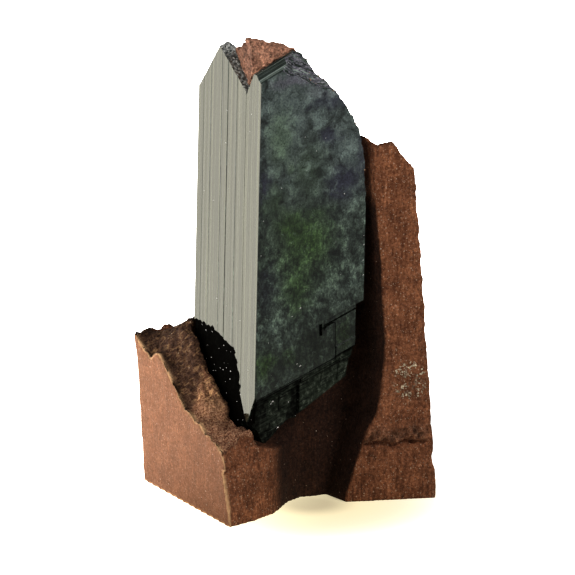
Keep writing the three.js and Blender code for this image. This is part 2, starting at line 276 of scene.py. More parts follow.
class GrainSettings(bpy.types.PropertyGroup):
    sparkles: number("Sparkles", "Mica flakes per square centimetre of stone", 9)
    dust: number("Dust", "Dust specks per square centimetre of crystal", 2.2)
    flake: length("Flake size", "Mean size of a mica flake", 0.14)
    seed: IntProperty(name="Seed", description="Seed of the scatter", default=4, min=0)


class StageSettings(bpy.types.PropertyGroup):
    azimuth: angle("Azimuth", "Direction the camera stands in", -35)
    elevation: angle("Elevation", "Height of the camera above the horizon", 15)
    lens: number("Lens", "Focal length in millimetres", 1000, 1)
    width: length("Frame width", "Width of the view at the specimen", 86.25)
    key: number("Key light", "Power of the key light", 0.42, unit="POWER")
    fill: number("Fill light", "Power of the fill light", 0.9, unit="POWER")
    glow_near: number("Floor glow", "Glow of the floor at the front right", 0.2)
    glow_far: number("Far floor glow", "Glow of the floor at the back left", 4.0)
    floor: colour("Floor", "Colour of the floor", (0.6, 0.59, 0.56))


# ---- Mesh helpers ----------------------------------------------------------------------------
def new_object(name, data):
    obj = bpy.data.objects.new(name, data)
    bpy.context.scene.collection.objects.link(obj)
    return obj


def add_object(name, points, faces):
    mesh = bpy.data.meshes.new(name)
    mesh.from_pydata([tuple(p) for p in points], [], faces)
    mesh.update()
    return new_object(name, mesh)


def closed_object(name, points, faces):
    """A new object whose faces all look outwards."""
    obj = add_object(name, points, faces)
    bm = bmesh.new()
    bm.from_mesh(obj.data)
    bmesh.ops.recalc_face_normals(bm, faces=bm.faces)
    bm.to_mesh(obj.data)
    bm.free()
    return obj


def bake(obj):
    """Replaces the object's mesh by the result of its modifiers, and removes them."""
    graph = bpy.context.evaluated_depsgraph_get()
    mesh = bpy.data.meshes.new_from_object(obj.evaluated_get(graph))
    old = obj.data
    obj.modifiers.clear()
    obj.data = mesh
    mesh.name = obj.name
    bpy.data.meshes.remove(old)


def combine(obj, other, operation):
    modifier = obj.modifiers.new("Combine", "BOOLEAN")
    modifier.operation = operation
    modifier.solver = "MANIFOLD"
    modifier.object = other
    bake(obj)
    mesh = other.data
    bpy.data.objects.remove(other)
    bpy.data.meshes.remove(mesh)
    if len(obj.data.polygons) < 4:
        raise RuntimeError(f"{obj.name} is empty after {operation}")


def skinned(rings):
    """A closed body through rings that have as many points each."""
    count = len(rings[0])
    last = count * (len(rings) - 1)
    faces = []
    for start in range(0, last, count):
        for i in range(count):
            j = (i + 1) % count
            faces.append([start + i, start + j, start + count + j, start + count + i])
    faces += [list(range(count))[::-1], list(range(last, last + count))]
    return closed_object("body", [point for ring in rings for point in ring], faces)


def prism(outline, back, front):
    """A closed body from an outline of x and z, run along y."""
    return skinned([[(x, y, z) for x, z in outline] for y in (front, back)])


def chamfered(outline, front, back, size):
    """A prism whose front edges are cut at a small slant."""
    middle = Vector((
        sum(x for x, _ in outline) / len(outline), sum(z for _, z in outline) / len(outline)))
    inner = []
    for point in map(Vector, outline):
        inner.append(point + (middle - point).normalized() * size * 1.4)
    rings = [[(x, front, z) for x, z in inner]]
    rings += [[(x, y, z) for x, z in outline] for y in (front + size, back)]
    return skinned(rings)


def shave(obj, origin, along, down, size, step, relief, thickness=12):
    """Cuts off what lies above an uneven sheet. The sheet starts at origin, runs along and
    down by size, and relief gives its height from those two distances."""
    along = along.normalized()
    normal = along.cross(down).normalized()
    if normal.z < 0:
        normal = -normal
    down = normal.cross(along).normalized() * (1 if normal.cross(along).dot(down) > 0 else -1)
    (a0, a1), (b0, b1) = size
    across = max(2, round((a1 - a0) / step))
    deep = max(2, round((b1 - b0) / step))
    points = []
    for lid in (False, True):
        for i in range(across + 1):
            for j in range(deep + 1):
                a = a0 + (a1 - a0) * i / across
                b = b0 + (b1 - b0) * j / deep
                c = thickness if lid else relief(a, b)
                points.append(origin + along * a + down * b + normal * c)
    row = deep + 1
    sheet = (across + 1) * row
    faces = []
    for i in range(across):
        for j in range(deep):
            k = i * row + j
            faces.append([k, k + 1, k + row + 1, k + row])
            faces.append([sheet + k, sheet + k + row, sheet + k + row + 1, sheet + k + 1])
    rim = [i * row for i in range(across + 1)]
    rim += [across * row + j for j in range(1, row)]
    rim += [i * row + deep for i in range(across - 1, -1, -1)]
    rim += list(range(deep - 1, 0, -1))
    for k, n in zip(rim, rim[1:] + rim[:1]):
        faces.append([k, n, n + sheet, k + sheet])
    combine(obj, closed_object("slab", points, faces), "DIFFERENCE")


def jagged(points, step, height, rng):
    """The same open outline with small uneven steps between its points."""
    result = [points[0]]
    for a, b in zip(points, points[1:]):
        a, b = Vector(a), Vector(b)
        run = b - a
        side = Vector((run.y, -run.x)).normalized()
        count = max(1, round(run.length / step))
        for i in range(1, count):
            at = a + run * ((i + rng.uniform(-0.3, 0.3)) / count)
            result.append(tuple(at + side * rng.uniform(-height, height)))
        result.append(tuple(b))
    return result


# ---- Material helpers ------------------------------------------------------------------------
def scaled(tint, factor):
    return tuple(min(1, c * factor) for c in tint)


class Shader:
    """A new material's node tree, with short calls for the nodes used here."""

    # Sockets of a colour mix: its share, its two colours and its result.
    SHARE, FIRST, SECOND, MIXED = 0, 6, 7, 2

    def __init__(self, name):
        self.material = bpy.data.materials.new(name)
        self.material.use_nodes = True
        self.tree = self.material.node_tree
        self.surface = self.tree.nodes["Principled BSDF"]

    def node(self, kind, inputs=(), **settings):
        made = self.tree.nodes.new(kind)
        for key, value in settings.items():
            setattr(made, key, value)
        for key, value in dict(inputs).items():
            self.put(made.inputs[key], value)
        return made

    def put(self, socket, value):
        if isinstance(value, bpy.types.NodeSocket):
            self.tree.links.new(value, socket)
        elif isinstance(value, (int, float)) or len(value) == len(socket.default_value):
            socket.default_value = value
        else:
            socket.default_value = (*value, 1)

    def set(self, **inputs):
        """Fills in the surface and returns the finished material."""
        for key, value in inputs.items():
            self.put(self.surface.inputs[key.replace("_", " ")], value)
        return self.material

    def stone_place(self):
        """Position in the stone's coordinates, in millimetres."""
        return self.placed(Matrix.Translation(-STONE_SHIFT))

    def crystal_place(self):
        """Position in the crystals' coordinates, in millimetres."""
        return self.placed(CRYSTAL_PLACE.inverted())

    def placed(self, matrix):
        coordinates = self.node("ShaderNodeTexCoord").outputs["Object"]
        return self.node("ShaderNodeMapping", {
            "Vector": coordinates,
            "Location": matrix.to_translation(),
            "Rotation": matrix.to_euler(),
            "Scale": (1 / MM, 1 / MM, 1 / MM),
        }).outputs["Vector"]

    def vector(self, operation, a, b):
        return self.node("ShaderNodeVectorMath", {0: a, 1: b}, operation=operation).outputs

    def stretched(self, vector, factors):
        return self.vector("MULTIPLY", vector, factors)[0]

    def distance(self, a, b):
        return self.vector("DISTANCE", a, b)["Value"]

    def noise(self, vector, scale, detail=3.0, roughness=0.5, distortion=0.0):
        return self.node("ShaderNodeTexNoise", {
            "Vector": vector, "Scale": scale, "Detail": detail, "Roughness": roughness,
            "Distortion": distortion,
        }).outputs["Fac"]

    def cells(self, vector, scale):
        """Distance to the nearest cell's middle, and three random values of that cell."""
        made = self.node("ShaderNodeTexVoronoi", {"Vector": vector, "Scale": scale}).outputs
        values = self.node("ShaderNodeSeparateXYZ", {"Vector": made["Color"]}).outputs
        return made["Distance"], values

    def math(self, operation, first, *others):
        for other in others:
            first = self.node("ShaderNodeMath", {0: first, 1: other}, operation=operation)
            first = first.outputs[0]
        return first

    def plus(self, *values):
        return self.math("ADD", *values)

    def minus(self, a, b):
        return self.math("SUBTRACT", a, b)

    def times(self, *values):
        return self.math("MULTIPLY", *values)

    def weighed(self, *pairs):
        """The sum of some values, each times its weight."""
        return self.plus(*(self.times(value, weight) for value, weight in pairs))

    def apart(self, value, level):
        """How far value is from a level."""
        return self.math("ABSOLUTE", self.minus(value, level), 0.0)

    def span(self, value, low, high, start=0.0, end=1.0):
        """value between low and high, spread over start to end and kept inside them."""
        return self.node("ShaderNodeMapRange", {
            "Value": value, "From Min": low, "From Max": high, "To Min": start, "To Max": end,
        }, interpolation_type="SMOOTHSTEP").outputs["Result"]

    def ramp(self, value, *stops):
        """Colours at rising positions of value."""
        made = self.node("ShaderNodeValToRGB", {"Fac": value})
        elements = made.color_ramp.elements
        for element, (position, tint) in ((elements[0], stops[0]), (elements[1], stops[-1])):
            element.position, element.color = position, (*tint, 1)
        for position, tint in stops[1:-1]:
            elements.new(position).color = (*tint, 1)
        return made.outputs["Color"]

    def blend(self, share, a, b, kind="MIX"):
        made = self.node("ShaderNodeMix", {
            self.SHARE: share, self.FIRST: a, self.SECOND: b}, data_type="RGBA", blend_type=kind)
        return made.outputs[self.MIXED]

    def near(self, vector, centre, radius):
        """1 at a place and 0 a radius away from it."""
        return self.span(self.distance(vector, centre), radius, 0)

    def part(self, vector, axis):
        return self.node("ShaderNodeSeparateXYZ", {"Vector": vector}).outputs[axis]

    def attribute(self, name):
        return self.node("ShaderNodeAttribute", attribute_name=name).outputs["Fac"]

    def bump(self, height, depth, strength=1.0, normal=None):
        inputs = {"Height": height, "Distance": depth * MM, "Strength": strength}
        if normal is not None:
            inputs["Normal"] = normal
        return self.node("ShaderNodeBump", inputs).outputs["Normal"]


# ---- Finishes --------------------------------------------------------------------------------
def siltstone_material(name, light, dark, grain):
    """Mottled fine sand with dark specks and a crust, paler where it is smooth or freshly broken.
    The edge values paint a highlight and the shade values paint shade.
    """
    s = Shader(name)
    at = s.stone_place()
    smooth, broken = s.attribute("smooth"), s.attribute("broken")
    patches = s.noise(at, 0.3, 6, 0.66)
    fine = s.noise(at, 2.6, 4, 0.7)
    upright = s.noise(s.stretched(at, (2.6, 2.6, 0.5)), 1.0, 4, 0.6)
    tone = s.weighed((patches, 0.3), (fine, 0.45), (upright, 0.3))
    base = s.ramp(tone, (0.4, scaled(dark, 0.5)), (0.49, dark), (0.57, light),
                  (0.67, scaled(light, 1.8)))
    worn = s.blend(fine, scaled(light, 0.7), (0.29, 0.165, 0.1))
    base = s.blend(s.times(smooth, 0.6), base, worn)

    rough_part = s.minus(1.0, s.times(smooth, 0.65))
    distance, pick = s.cells(at, 2.9)
    spot = s.times(s.span(distance, 0.42, 0.2), s.span(pick[0], 0.8, 0.9), rough_part, 0.55)
    base = s.blend(spot, base, grain)
    spot = s.times(s.span(distance, 0.5, 0.25), s.span(pick[1], 0.82, 0.9), 0.5)
    base = s.blend(spot, base, scaled(dark, 0.35))
    small, small_pick = s.cells(at, 7.5)
    glint = s.times(s.span(small, 0.45, 0.2), s.span(small_pick[2], 0.9, 0.95), 0.6)
    base = s.blend(glint, base, (0.75, 0.58, 0.44))

    along = s.node("ShaderNodeMapping", {
        "Vector": at, "Rotation": (math.radians(-39), 0, 0), "Scale": (0.6, 1.4, 0.45)},
        vector_type="TEXTURE").outputs["Vector"]
    streaks = s.ramp(
        s.noise(along, 1.0, 5, 0.7, 0.5), (0.38, scaled(dark, 0.4)), (0.46, (0.2, 0.1, 0.055)),
        (0.55, (0.4, 0.22, 0.12)), (0.64, (0.95, 0.6, 0.3)))
    gritty = s.ramp(
        s.noise(at, 3.6, 3, 0.75), (0.38, scaled(dark, 0.5)), (0.49, (0.33, 0.165, 0.095)),
        (0.62, (0.75, 0.46, 0.29)))
    high = s.span(s.plus(s.part(at, 2), s.times(patches, 8)), 17.5, 22)
    base = s.blend(s.times(broken, 0.72), base, s.blend(high, gritty, streaks))
    # Painted highlight where the edge values are high, and painted shade where the shade values
    # are high.
    base = s.blend(s.times(s.attribute("edge"), 0.75), base, (0.7, 0.45, 0.25))
    base = s.blend(s.attribute("shade"), base, (0.07, 0.05, 0.04), "MULTIPLY")
    crust = s.times(s.near(at, WALL_CRUST, 4.4), s.span(s.noise(at, 1.1, 5, 0.7), 0.5, 0.6), 0.55)
    base = s.blend(crust, base, s.ramp(
        s.noise(at, 2.6, 3), (0.4, (0.07, 0.07, 0.05)), (0.62, (0.3, 0.3, 0.24))))

    rough_part = s.plus(rough_part, s.times(broken, 1.2))
    coarse = s.bump(s.times(s.noise(at, 1.1, 4, 0.6), rough_part), 0.3, 0.9)
    height = s.times(s.weighed((fine, 0.6), (distance, 0.25)), rough_part)
    return s.set(
        Base_Color=base, Roughness=s.span(fine, 0.3, 0.7, 0.95, 0.78),
        Normal=s.bump(height, 0.2, 1.0, coarse), Specular_IOR_Level=0.3)


def face_material(settings):
    """The broad faces: a glossy skin over mottled green with grey veils."""
    s = Shader("vivianite_face")
    at = s.crystal_place()
    height = s.part(at, 2)
    warp = s.node("ShaderNodeTexNoise", {"Vector": at, "Scale": 0.55, "Detail": 4.0})
    warp = s.vector("ADD", warp.outputs["Color"], (-0.5, -0.5, -0.5))[0]
    warped = s.vector("ADD", at, s.stretched(warp, (2.6, 2.6, 2.6)))[0]
    clouds = s.noise(warped, 0.42, 5, 0.6)
    wisps = s.noise(s.stretched(warped, (1.0, 1.0, 0.7)), 1.25, 6, 0.7)
    tone = s.weighed((clouds, 0.76), (wisps, 0.24))
    colours = {
        "dark": settings.dark, "green": settings.green, "veil": settings.veil,
        "moss": scaled(settings.green, 0.5), "violet": (0.026, 0.027, 0.042),
        "pale": (0.085, 0.13, 0.075), "ash": (0.1, 0.098, 0.112),
    }
    base = s.ramp(tone, (0.36, settings.dark), (0.5, scaled(settings.veil, 0.52)),
                  (0.64, scaled(settings.veil, 1.22)))
    ragged = s.times(s.minus(tone, 0.5), 2.4)
    for kind, x, z, wide, high, share in FACE_PATCHES:
        near = s.distance(s.stretched(warped, (1 / wide, 0, 1 / high)), (x / wide, 0, z / high))
        near = s.plus(near, s.times(ragged, 1 if kind in ("dark", "violet") else -1))
        base = s.blend(s.span(near, 1.25, 0.1, 0, share), base, colours[kind])

    depth = s.ramp(
        s.noise(s.stretched(warped, (0.9, 1.0, 1.1)), 0.36, 6, 0.6), (0.34, (0.45, 0.47, 0.5)),
        (0.5, (1.05, 1.05, 1.05)), (0.66, (1.85, 1.85, 1.8)))
    base = s.blend(s.span(height, 58, 42, 0.6, 1), base, depth, "MULTIPLY")
    base = s.blend(s.span(height, 43, 53), base, (1.2, 1.14, 1.28), "MULTIPLY")
    grain = s.ramp(s.noise(at, 3.2, 4, 0.7), (0.36, (0.5, 0.5, 0.5)), (0.64, (1.7, 1.7, 1.7)))
    base = s.blend(0.7, base, grain, "MULTIPLY")
    low = s.minus(height, s.times(s.part(at, 0), 0.3))
    base = s.blend(s.span(low, 33, 19, 0, 0.7), base, (0.011, 0.0155, 0.008))
    flecks = s.ramp(
        s.noise(s.stretched(at, (1.0, 1.0, 0.6)), 1.7, 5, 0.75), (0.38, (0.35, 0.35, 0.35)),
        (0.5, (0.9, 0.9, 0.88)), (0.62, (1.95, 1.95, 1.8)))
    base = s.blend(s.span(height, 54, 38, 0.18, 0.9), base, flecks, "MULTIPLY")

    cracks = s.span(s.apart(s.noise(warped, 0.6, 2, 0.5), 0.5), 0.012, 0.002, 0, 0.6)
    base = s.blend(cracks, base, (0.006, 0.008, 0.007))
    threads = s.span(s.apart(s.noise(warped, 0.9, 3, 0.6, 0.8), 0.54), 0.014, 0.003)
    threads = s.times(threads, s.span(clouds, 0.5, 0.62), 0.5)
    base = s.blend(threads, base, scaled(settings.veil, 2))
    strips = s.ramp(
        s.noise(s.stretched(at, (0.02, 7, 0.02)), 1.0, 3, 0.7), (0.4, (0.012, 0.016, 0.013)),
        (0.52, (0.08, 0.1, 0.085)), (0.62, (0.36, 0.42, 0.38)))
    on_bevel = s.times(s.span(s.part(at, 1), 0.03, 0.1, 0, 0.85), s.span(height, 58, 60))
    scratch = s.noise(s.stretched(at, (1.4, 1, 0.25)), 1.2, 4, 0.6)
    return s.set(
        Base_Color=s.blend(on_bevel, base, strips),
        Roughness=s.span(scratch, 0.35, 0.65, 0.1, 0.2),
        Normal=s.bump(s.plus(s.noise(at, 0.7, 3), s.times(scratch, 0.25)), 0.03, 0.5),
        IOR=settings.ior, Specular_IOR_Level=0.3)


def side_material(settings):
    """The striated sides: fine upright lines under a vitreous sheen."""
    s = Shader("vivianite_striated")
    at = s.crystal_place()
    lines = s.noise(s.stretched(at, (1, 3.1, 0.012)), 1.0, 5, 0.75)
    hair = s.noise(s.stretched(at, (1, 11, 0.05)), 1.0, 2, 0.6)
    tone = s.weighed((lines, 0.75), (hair, 0.25))
    base = s.ramp(tone, (0.38, scaled(settings.side, 0.1)), (0.5, settings.side),
                  (0.62, scaled(settings.side, 6)))
    return s.set(
        Base_Color=base, Roughness=s.span(hair, 0.3, 0.7, 0.02, 0.07),
        Normal=s.bump(tone, 0.002, 0.5), IOR=settings.ior, Specular_Tint=(1, 0.98, 0.8))


def dark_material(settings):
    """The foot and the cut-back low sides: near-black crystal with paler patches and slanting
    partings. The near-black is painted shade on the foot and a painted dark reflection on the
    sides.
    """
    s = Shader("vivianite_dark")
    at = s.crystal_place()
    wisps = s.noise(s.stretched(at, (1.2, 1.2, 1)), 1.1, 6, 0.72)
    base = s.ramp(wisps, (0.44, (0.004, 0.004, 0.003)), (0.58, (0.02, 0.023, 0.017)),
                  (0.72, (0.075, 0.083, 0.065)))
    mottled = s.ramp(wisps, (0.36, (0.014, 0.018, 0.012)), (0.52, (0.04, 0.05, 0.036)),
                     (0.66, (0.15, 0.17, 0.135)))
    across = s.part(at, 0)
    slant = s.minus(s.part(at, 2), s.times(across, FOOT_SLANT))
    for *sides, share in FOOT_PATCHES:
        inside = []
        for value, low, high in ((across, *sides[:2]), (slant, *sides[2:])):
            inside += [s.span(value, low - PATCH_EDGE, low + PATCH_EDGE),
                       s.span(value, high + PATCH_EDGE, high - PATCH_EDGE)]
        base = s.blend(s.times(*inside, share), base, mottled)
    lines = s.noise(s.node("ShaderNodeCombineXYZ", {
        "X": s.times(slant, 2.6), "Y": s.times(across, 0.14)}).outputs[0], 1.0, 4, 0.7)
    base = s.blend(s.span(lines, 0.57, 0.63, 0, 0.3), base, (0.085, 0.095, 0.078))
    base = s.blend(s.span(lines, 0.46, 0.4, 0, 0.8), base, (0.003, 0.003, 0.003))
    # Near-black along the left edge: painted dark reflection.
    base = s.blend(s.span(across, 0.9, 0.6, 0, 0.94), base, (0.0012, 0.0008, 0.0005))
    return s.set(
        Base_Color=base, Roughness=s.span(across, 0.9, 0.5, 0.2, 0.9),
        Normal=s.bump(wisps, 0.05, 0.5), Specular_IOR_Level=0.02)


def broken_material(settings):
    """Broken crystal: splintery, dark grey with a violet cast and pale fibres."""
    s = Shader("vivianite_broken")
    at = s.crystal_place()
    fibres = s.noise(s.stretched(at, (0.7, 1, 4.5)), 1.0, 5, 0.7, 0.6)
    grain = s.noise(at, 3.5, 3, 0.6)
    tone = s.weighed((fibres, 0.75), (grain, 0.25))
    base = s.ramp(
        tone, (0.36, (0.02, 0.022, 0.028)), (0.48, (0.09, 0.088, 0.11)),
        (0.57, (0.3, 0.29, 0.32)), (0.67, (0.85, 0.84, 0.85)))
    gable = s.times(s.span(s.part(at, 1), 3.7, 3.9), s.span(s.part(at, 0), 6, 1), 0.85)
    base = s.blend(gable, base, s.ramp(
        s.noise(at, 2.6, 4, 0.75), (0.4, (0.06, 0.068, 0.06)), (0.52, (0.29, 0.3, 0.28)),
        (0.64, (0.85, 0.85, 0.8))))
    return s.set(
        Base_Color=base, Roughness=s.span(grain, 0.3, 0.7, 0.22, 0.5),
        Normal=s.bump(tone, 0.16, 0.8), IOR=settings.ior)


def speck_material(name, low, high, roughness):
    s = Shader(name)
    at = s.stone_place()
    return s.set(
        Base_Color=s.ramp(s.noise(at, 1.7, 3), (0.35, low), (0.65, high)),
        Roughness=s.span(s.noise(at, 6, 2), 0.3, 0.7, roughness, min(1, roughness + 0.2)),
        Normal=s.bump(s.noise(at, 9, 3), 0.04, 0.6))


# ---- Crystals --------------------------------------------------------------------------------
def striated_side(rng, width, depth):
    """Points across a striated side as distance and height: narrow treads and small steps."""
    points = []
    at = 0.0
    height = 0.0
    while at < width - 0.05:
        tread = min(rng.choice(TREADS) * rng.uniform(0.7, 1.3), width - at)
        height = 0.5 * height + rng.uniform(-depth, depth)
        tilt = rng.uniform(-0.16, 0.16) * depth
        points += [(at + 0.01, height - tilt), (at + tread - 0.01, height + tilt)]
        at += tread
    return points


def striated_prism(width, front, back, bottom, top, depth, grooves, seed):
    """An upright bar with striated left and right sides. Grooves are deeper lines on the left
    side: how far from the front, how wide and how deep."""
    rng = np.random.default_rng(seed)
    thick = back - front
    left = [(-h, front + d) for d, h in striated_side(rng, thick, depth)]
    right = [(width + h, front + d) for d, h in striated_side(rng, thick, depth)]
    for at, wide, deep in grooves:
        left = [p for p in left if abs(p[1] - at) > wide / 2 + 0.02]
        left += [(0, at - wide / 2), (deep, at), (0, at + wide / 2)]
    left.sort(key=lambda p: -p[1])
    right.sort(key=lambda p: p[1])
    middle = width * 0.5
    loop = [(0, front), (middle, front), (width, front), *right,
            (width, back), (middle, back), (0, back), *left]
    rings = []
    for z in np.linspace(bottom, top, max(2, round((top - bottom) / 2.5))):
        rings.append([])
        for x, y in loop:
            sway = 0.0
            if x < 1 or x > width - 1:
                sway = 0.25 * depth * noise.noise(Vector((0.2 * z, 2.1 * y, 0.4 * x)))
            rings[-1].append((x + sway, y, z))
    return skinned(rings)


def fall(sign, degrees):
    angle = math.radians(degrees)
    return Vector((0, sign * math.cos(angle), -math.sin(angle)))


def terraced(a, b):
    """Narrow terraces that run straight along the edge."""
    down, back = np.array(BEVEL_TERRACES).T
    return float(np.interp(b, down, -back))


def granular(height, size, seed):
    def relief(a, b):
        place = Vector((a / size, b / size, seed))
        return height * (noise.fractal(place, 0.8, 2.1, 3) - 0.3)
    return relief


def fibrous(height, seed):
    """Wavy fibres that run along the sheet."""
    def relief(a, b):
        bend = 0.35 * noise.noise(Vector((a * 0.45, b * 0.3, seed)))
        fibre = noise.noise(Vector((a * 0.5, (b + bend) * 3.4, seed + 3)))
        coarse = noise.noise(Vector((a * 0.6, b * 1.1, seed + 7)))
        return height * (0.8 * fibre + 0.7 * coarse - 0.25)
    return relief


def cut_dark_side(crystal, seed):
    """Cuts the striated side back below its ragged lower edge. The cut face takes the near-black
    finish, a painted dark reflection.
    """
    rng = np.random.default_rng(seed)
    outline = jagged(SIDE_EDGE_FRONT, 0.5, 0.03, rng)
    outline += jagged(SIDE_EDGE_REAR, 0.4, 0.26, rng)[1:]
    cutter = prism([*outline, (18, 5), (-1, 5)], 1, -DARK_SIDE_DEPTH)
    cutter.data.transform(Matrix.Rotation(math.pi / 2, 4, "Z"))
    combine(crystal, cutter, "DIFFERENCE")


def finish_crystal(obj, name, settings, rule):
    """Names the crystal, gives each face the finish that rule picks, and puts it in place."""
    obj.name = name
    obj.data.name = name
    obj.data.materials.clear()
    for title, maker in (
        ("vivianite_face", face_material), ("vivianite_striated", side_material),
        ("vivianite_broken", broken_material), ("vivianite_dark", dark_material),
    ):
        obj.data.materials.append(bpy.data.materials.get(title) or maker(settings))
    for polygon in obj.data.polygons:
        polygon.use_smooth = False
        polygon.material_index = rule(polygon.center, polygon.normal)
    obj.data.transform(Matrix.Scale(MM, 4) @ CRYSTAL_PLACE)
    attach(obj, "root")
    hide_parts(name.replace("_shape", ""))


class VIVIANITE_OT_front_crystal(bpy.types.Operator):
    """Build the thin front crystal with its broad face and stepped foot"""

    bl_idname = "vivianite.front_crystal"
    bl_label = "Front crystal"

    def execute(self, context):
        settings = context.scene.vivianite_crystal
        rng = np.random.default_rng(11)
        depth = settings.striation / MM
        crystal = striated_prism(
            FRONT_WIDTH, 0, FRONT_THICK + SEAM / 2, 14, 75, depth * 0.6, [], 3)
        outline = [(-1, 17.97), (-1, 68.2)]
        outline += jagged([FRONT_PEAK, *FRONT_SHOULDER], 0.55, 0.13, rng)
        outline += [(21, 46.5), (21, 32.04), *FRONT_FOOT]
        combine(crystal, prism(outline, 6, -2), "INTERSECT")
        for set_back, shape in FOOT_BLOCKS:
            combine(crystal, chamfered(shape, set_back, FRONT_THICK, 0.09), "UNION")
        for (x0, z0), (x1, z1), width in FOOT_SLOTS:
            side = Vector((z0 - z1, x1 - x0)).normalized() * width / 2
            slot = [(x0 - side.x, z0 - side.y), (x1 - side.x, z1 - side.y),
                    (x1 + side.x, z1 + side.y), (x0 + side.x, z0 + side.y)]
            combine(crystal, prism(slot, SLOT_DEPTH, -1), "DIFFERENCE")
        ridge = Vector((0, *FRONT_RIDGE))
        shave(crystal, ridge, TOP_EDGE, fall(-1, FRONT_BEVEL_DEG), ((-6, 16), (-0.1, 6)), 0.06,
              terraced)
        ridge.y = FRONT_BACK_Y
        shave(crystal, ridge, TOP_EDGE, fall(1, FRONT_BACK_DEG), ((-6.1, 16.2), (-0.1, 9)), 0.4,
              granular(0.12, 0.8, 5))
        a, b, c = (Vector(p) for p in BROKEN_CORNER)
        start = a - (b - a).normalized() * 0.4
        shave(crystal, start, b - a, -(c - a) + (c - a).project(b - a), ((-1, 13), (-5, 3)),
              0.11, fibrous(0.2, 2))
        cut_dark_side(crystal, 5)
        finish_crystal(crystal, "front_crystal_shape", settings, self.slot_of)
        return {"FINISHED"}

    @staticmethod
    def slot_of(centre, normal):
        x, y, z = centre
        set_back = y > 0.05
        # Set-back faces of the foot and the gaps between its blocks take the near-black finish:
        # painted shade.
        in_gap = set_back and abs(normal.y) < 0.5 and 11 < x < 15.1 and z < 31
        on_foot = z < min(PAINTED_DARK_TOP, FOOT_TOP + FOOT_RISE * x) and (x > 0.15 or z < 14.6)
        if in_gap or on_foot and (set_back or z < 16):
            return DARK
        if abs(normal.x) > 0.75 and (z < SHOULDER_END or normal.x < 0) and not 0.6 < x < 12:
            return STRIATED
        on_shoulder = z > SHOULDER_END and normal.x > 0.2 and normal.y > -0.9
        start, _, level = BROKEN_CORNER[0]
        line = level - (x - start) * BROKEN_FALL
        above_break = z > line + 0.25 and x > start and abs(normal.y) < 0.97
        return BROKEN if on_shoulder or above_break else FACE


class VIVIANITE_OT_rear_crystal(bpy.types.Operator):
    """Build the thick rear crystal with its wide striated side and gable tip"""

    bl_idname = "vivianite.rear_crystal"
    bl_label = "Rear crystal"

    def execute(self, context):
        settings = context.scene.vivianite_crystal
        rng = np.random.default_rng(17)
        depth = settings.striation / MM
        front = FRONT_THICK + SEAM
        back = FRONT_THICK + REAR_THICK
        crystal = striated_prism(REAR_WIDTH, front, back, 9, 76, depth, GROOVES, 8)
        outline = [(-1, 10.8), (-1, 70.67)]
        outline += jagged([REAR_PEAK, *REAR_BREAK], 0.7, 0.16, rng)
        outline += [(20, 57), (20, 25), REAR_FOOT]
        combine(crystal, prism(outline, 20, 1), "INTERSECT")
        ridge = Vector((0, *REAR_RIDGE))
        shave(crystal, ridge, TOP_EDGE, fall(-1, REAR_FRONT_DEG), ((-7, 21), (-0.15, 11)), 0.16,
              granular(0.2, 0.55, 3))
        shave(crystal, ridge, TOP_EDGE, fall(1, REAR_BACK_DEG), ((-7.1, 21.1), (-0.15, 12)), 0.3,
              granular(0.05, 1.2, 9))
        cut_dark_side(crystal, 6)
        finish_crystal(crystal, "rear_crystal_shape", settings, self.slot_of)
        return {"FINISHED"}

    @staticmethod
    def slot_of(centre, normal):
        # The cut-back low side and the edges of its grooves take the near-black finish: a painted
        # dark reflection.
        in_notch = centre.x < 1 and abs(normal.x) < 0.3
        if centre.z < PAINTED_DARK_TOP + 0.2 and (abs(centre.x - DARK_SIDE_DEPTH) < 0.04 or in_notch):
            return DARK
        if normal.x < -0.75 or normal.x > 0.75 and centre.x > REAR_WIDTH - 0.5:
            return STRIATED
        return BROKEN if (normal.z > 0.2 or normal.x > 0.75) and abs(normal.y) < 0.99 else FACE


# ---- Stone -----------------------------------------------------------------------------------
def remeshed_copy(node, name, voxel):
    """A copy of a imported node, with its loose triangles joined and an even mesh."""
    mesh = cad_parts[node].data.copy()
    bm = bmesh.new()
    bm.from_mesh(mesh)
    bmesh.ops.remove_doubles(bm, verts=bm.verts, dist=1e-6)
    bmesh.ops.recalc_face_normals(bm, faces=bm.faces)
    bm.to_mesh(mesh)
    bm.free()
    obj = new_object(name, mesh)
    modifier = obj.modifiers.new("Remesh", "REMESH")
    modifier.mode = "VOXEL"
    modifier.voxel_size = voxel
    bake(obj)
    obj.data.materials.clear()
    return obj


def arrays(mesh):
    """Each point's place, its normal and its place in the stone's coordinates."""
    count = len(mesh.vertices)
    places = np.empty(count * 3, np.float32)
    normals = np.empty(count * 3, np.float32)
    mesh.vertices.foreach_get("co", places)
    mesh.vertex_normals.foreach_get("vector", normals)
    places = places.reshape(-1, 3).astype(float)
    return places, normals.reshape(-1, 3).astype(float), places / MM - np.array(STONE_SHIFT)


def smooth_step(value, low, high):
    share = np.clip((value - low) / (high - low), 0, 1)
    return share * share * (3 - 2 * share)


def bulge(points, centre, reach):
    """1 at the centre, fading out over the reach."""
    return np.exp(-(((points - np.array(centre)) / reach) ** 2).sum(axis=1))


def shifted(points, size, seed):
    """The points in units of size. Each seed moves them to another part of the noise."""
    shift = Vector((seed * 7.3, seed * 3.1, seed * 5.7))
    return (Vector(point) / size + shift for point in points)


def lumps(points, size, seed):
    """Turbulent noise at each point, about -1 to 1."""
    return np.array([noise.fractal(p, 0.9, 2.05, 4) for p in shifted(points, size, seed)])


def chipped(points, size, seed):
    """Angular lumps at each point, about -1 to 1."""
    return np.array([1 - 1.6 * noise.voronoi(p)[0][0] for p in shifted(points, size, seed)])


